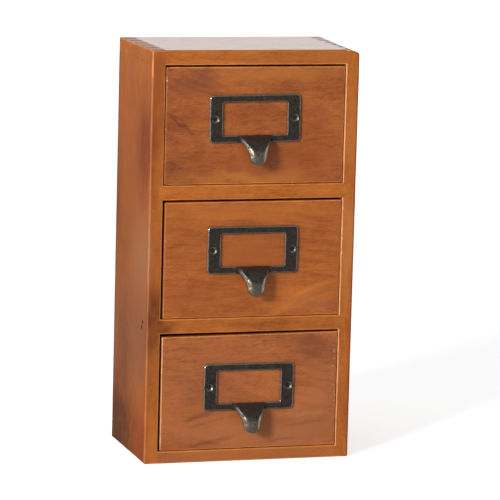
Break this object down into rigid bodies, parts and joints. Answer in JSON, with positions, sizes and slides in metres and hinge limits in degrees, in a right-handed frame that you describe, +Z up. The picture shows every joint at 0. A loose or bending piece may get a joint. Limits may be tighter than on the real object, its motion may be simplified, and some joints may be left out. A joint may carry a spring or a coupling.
{
  "type": "desktop mini drawers",
  "caption": "Tall narrow wooden desktop cabinet with stacked inset drawers, each opened by a cast label-frame pull with a finger tongue.",
  "frame": {"origin": "centre of the cabinet's underside, without the pulls", "axes": "+Z up, -Y towards the drawer fronts, +X to the right of someone facing the drawers"},
  "size_m": [0.13, 0.0915, 0.252],
  "materials": {
    "cabinet_wood": "reddish brown stain under satin lacquer, sanded arrises",
    "front_wood": "reddish brown stain under satin lacquer, grain across the front",
    "drawer_wood": "thin stain, little lacquer",
    "plywood": "plywood, lightly stained",
    "antique_iron": "antique dark casting, burnished on its edges",
    "steel_pins": "plain bright wire"
  },
  "bodies": {
    "cabinet": {"left_side": "cabinet_wood", "right_side": "cabinet_wood", "top_panel": "cabinet_wood", "bottom_panel": "cabinet_wood", "upper_shelf": "cabinet_wood", "lower_shelf": "cabinet_wood", "back_panel": "plywood", "back_pins": "steel_pins", "shelf_brads": "steel_pins"},
    "upper_drawer": {"upper_drawer_front": "front_wood", "upper_drawer_left_side": "drawer_wood", "upper_drawer_right_side": "drawer_wood", "upper_drawer_back": "drawer_wood", "upper_drawer_bottom": "plywood", "upper_drawer_nails": "steel_pins", "upper_pull": "antique_iron", "upper_pull_screws": "antique_iron"},
    "middle_drawer": {"middle_drawer_front": "front_wood", "middle_drawer_left_side": "drawer_wood", "middle_drawer_right_side": "drawer_wood", "middle_drawer_back": "drawer_wood", "middle_drawer_bottom": "plywood", "middle_drawer_nails": "steel_pins", "middle_pull": "antique_iron", "middle_pull_screws": "antique_iron"},
    "lower_drawer": {"lower_drawer_front": "front_wood", "lower_drawer_left_side": "drawer_wood", "lower_drawer_right_side": "drawer_wood", "lower_drawer_back": "drawer_wood", "lower_drawer_bottom": "plywood", "lower_drawer_nails": "steel_pins", "lower_pull": "antique_iron", "lower_pull_screws": "antique_iron"}
  },
  "joints": [
    {"name": "upper_drawer_slide", "type": "slide", "parent": "cabinet", "child": "upper_drawer", "axis": [0, -1, 0], "range_m": [0, 0.055]},
    {"name": "middle_drawer_slide", "type": "slide", "parent": "cabinet", "child": "middle_drawer", "axis": [0, -1, 0], "range_m": [0, 0.055]},
    {"name": "lower_drawer_slide", "type": "slide", "parent": "cabinet", "child": "lower_drawer", "axis": [0, -1, 0], "range_m": [0, 0.055]}
  ]
}
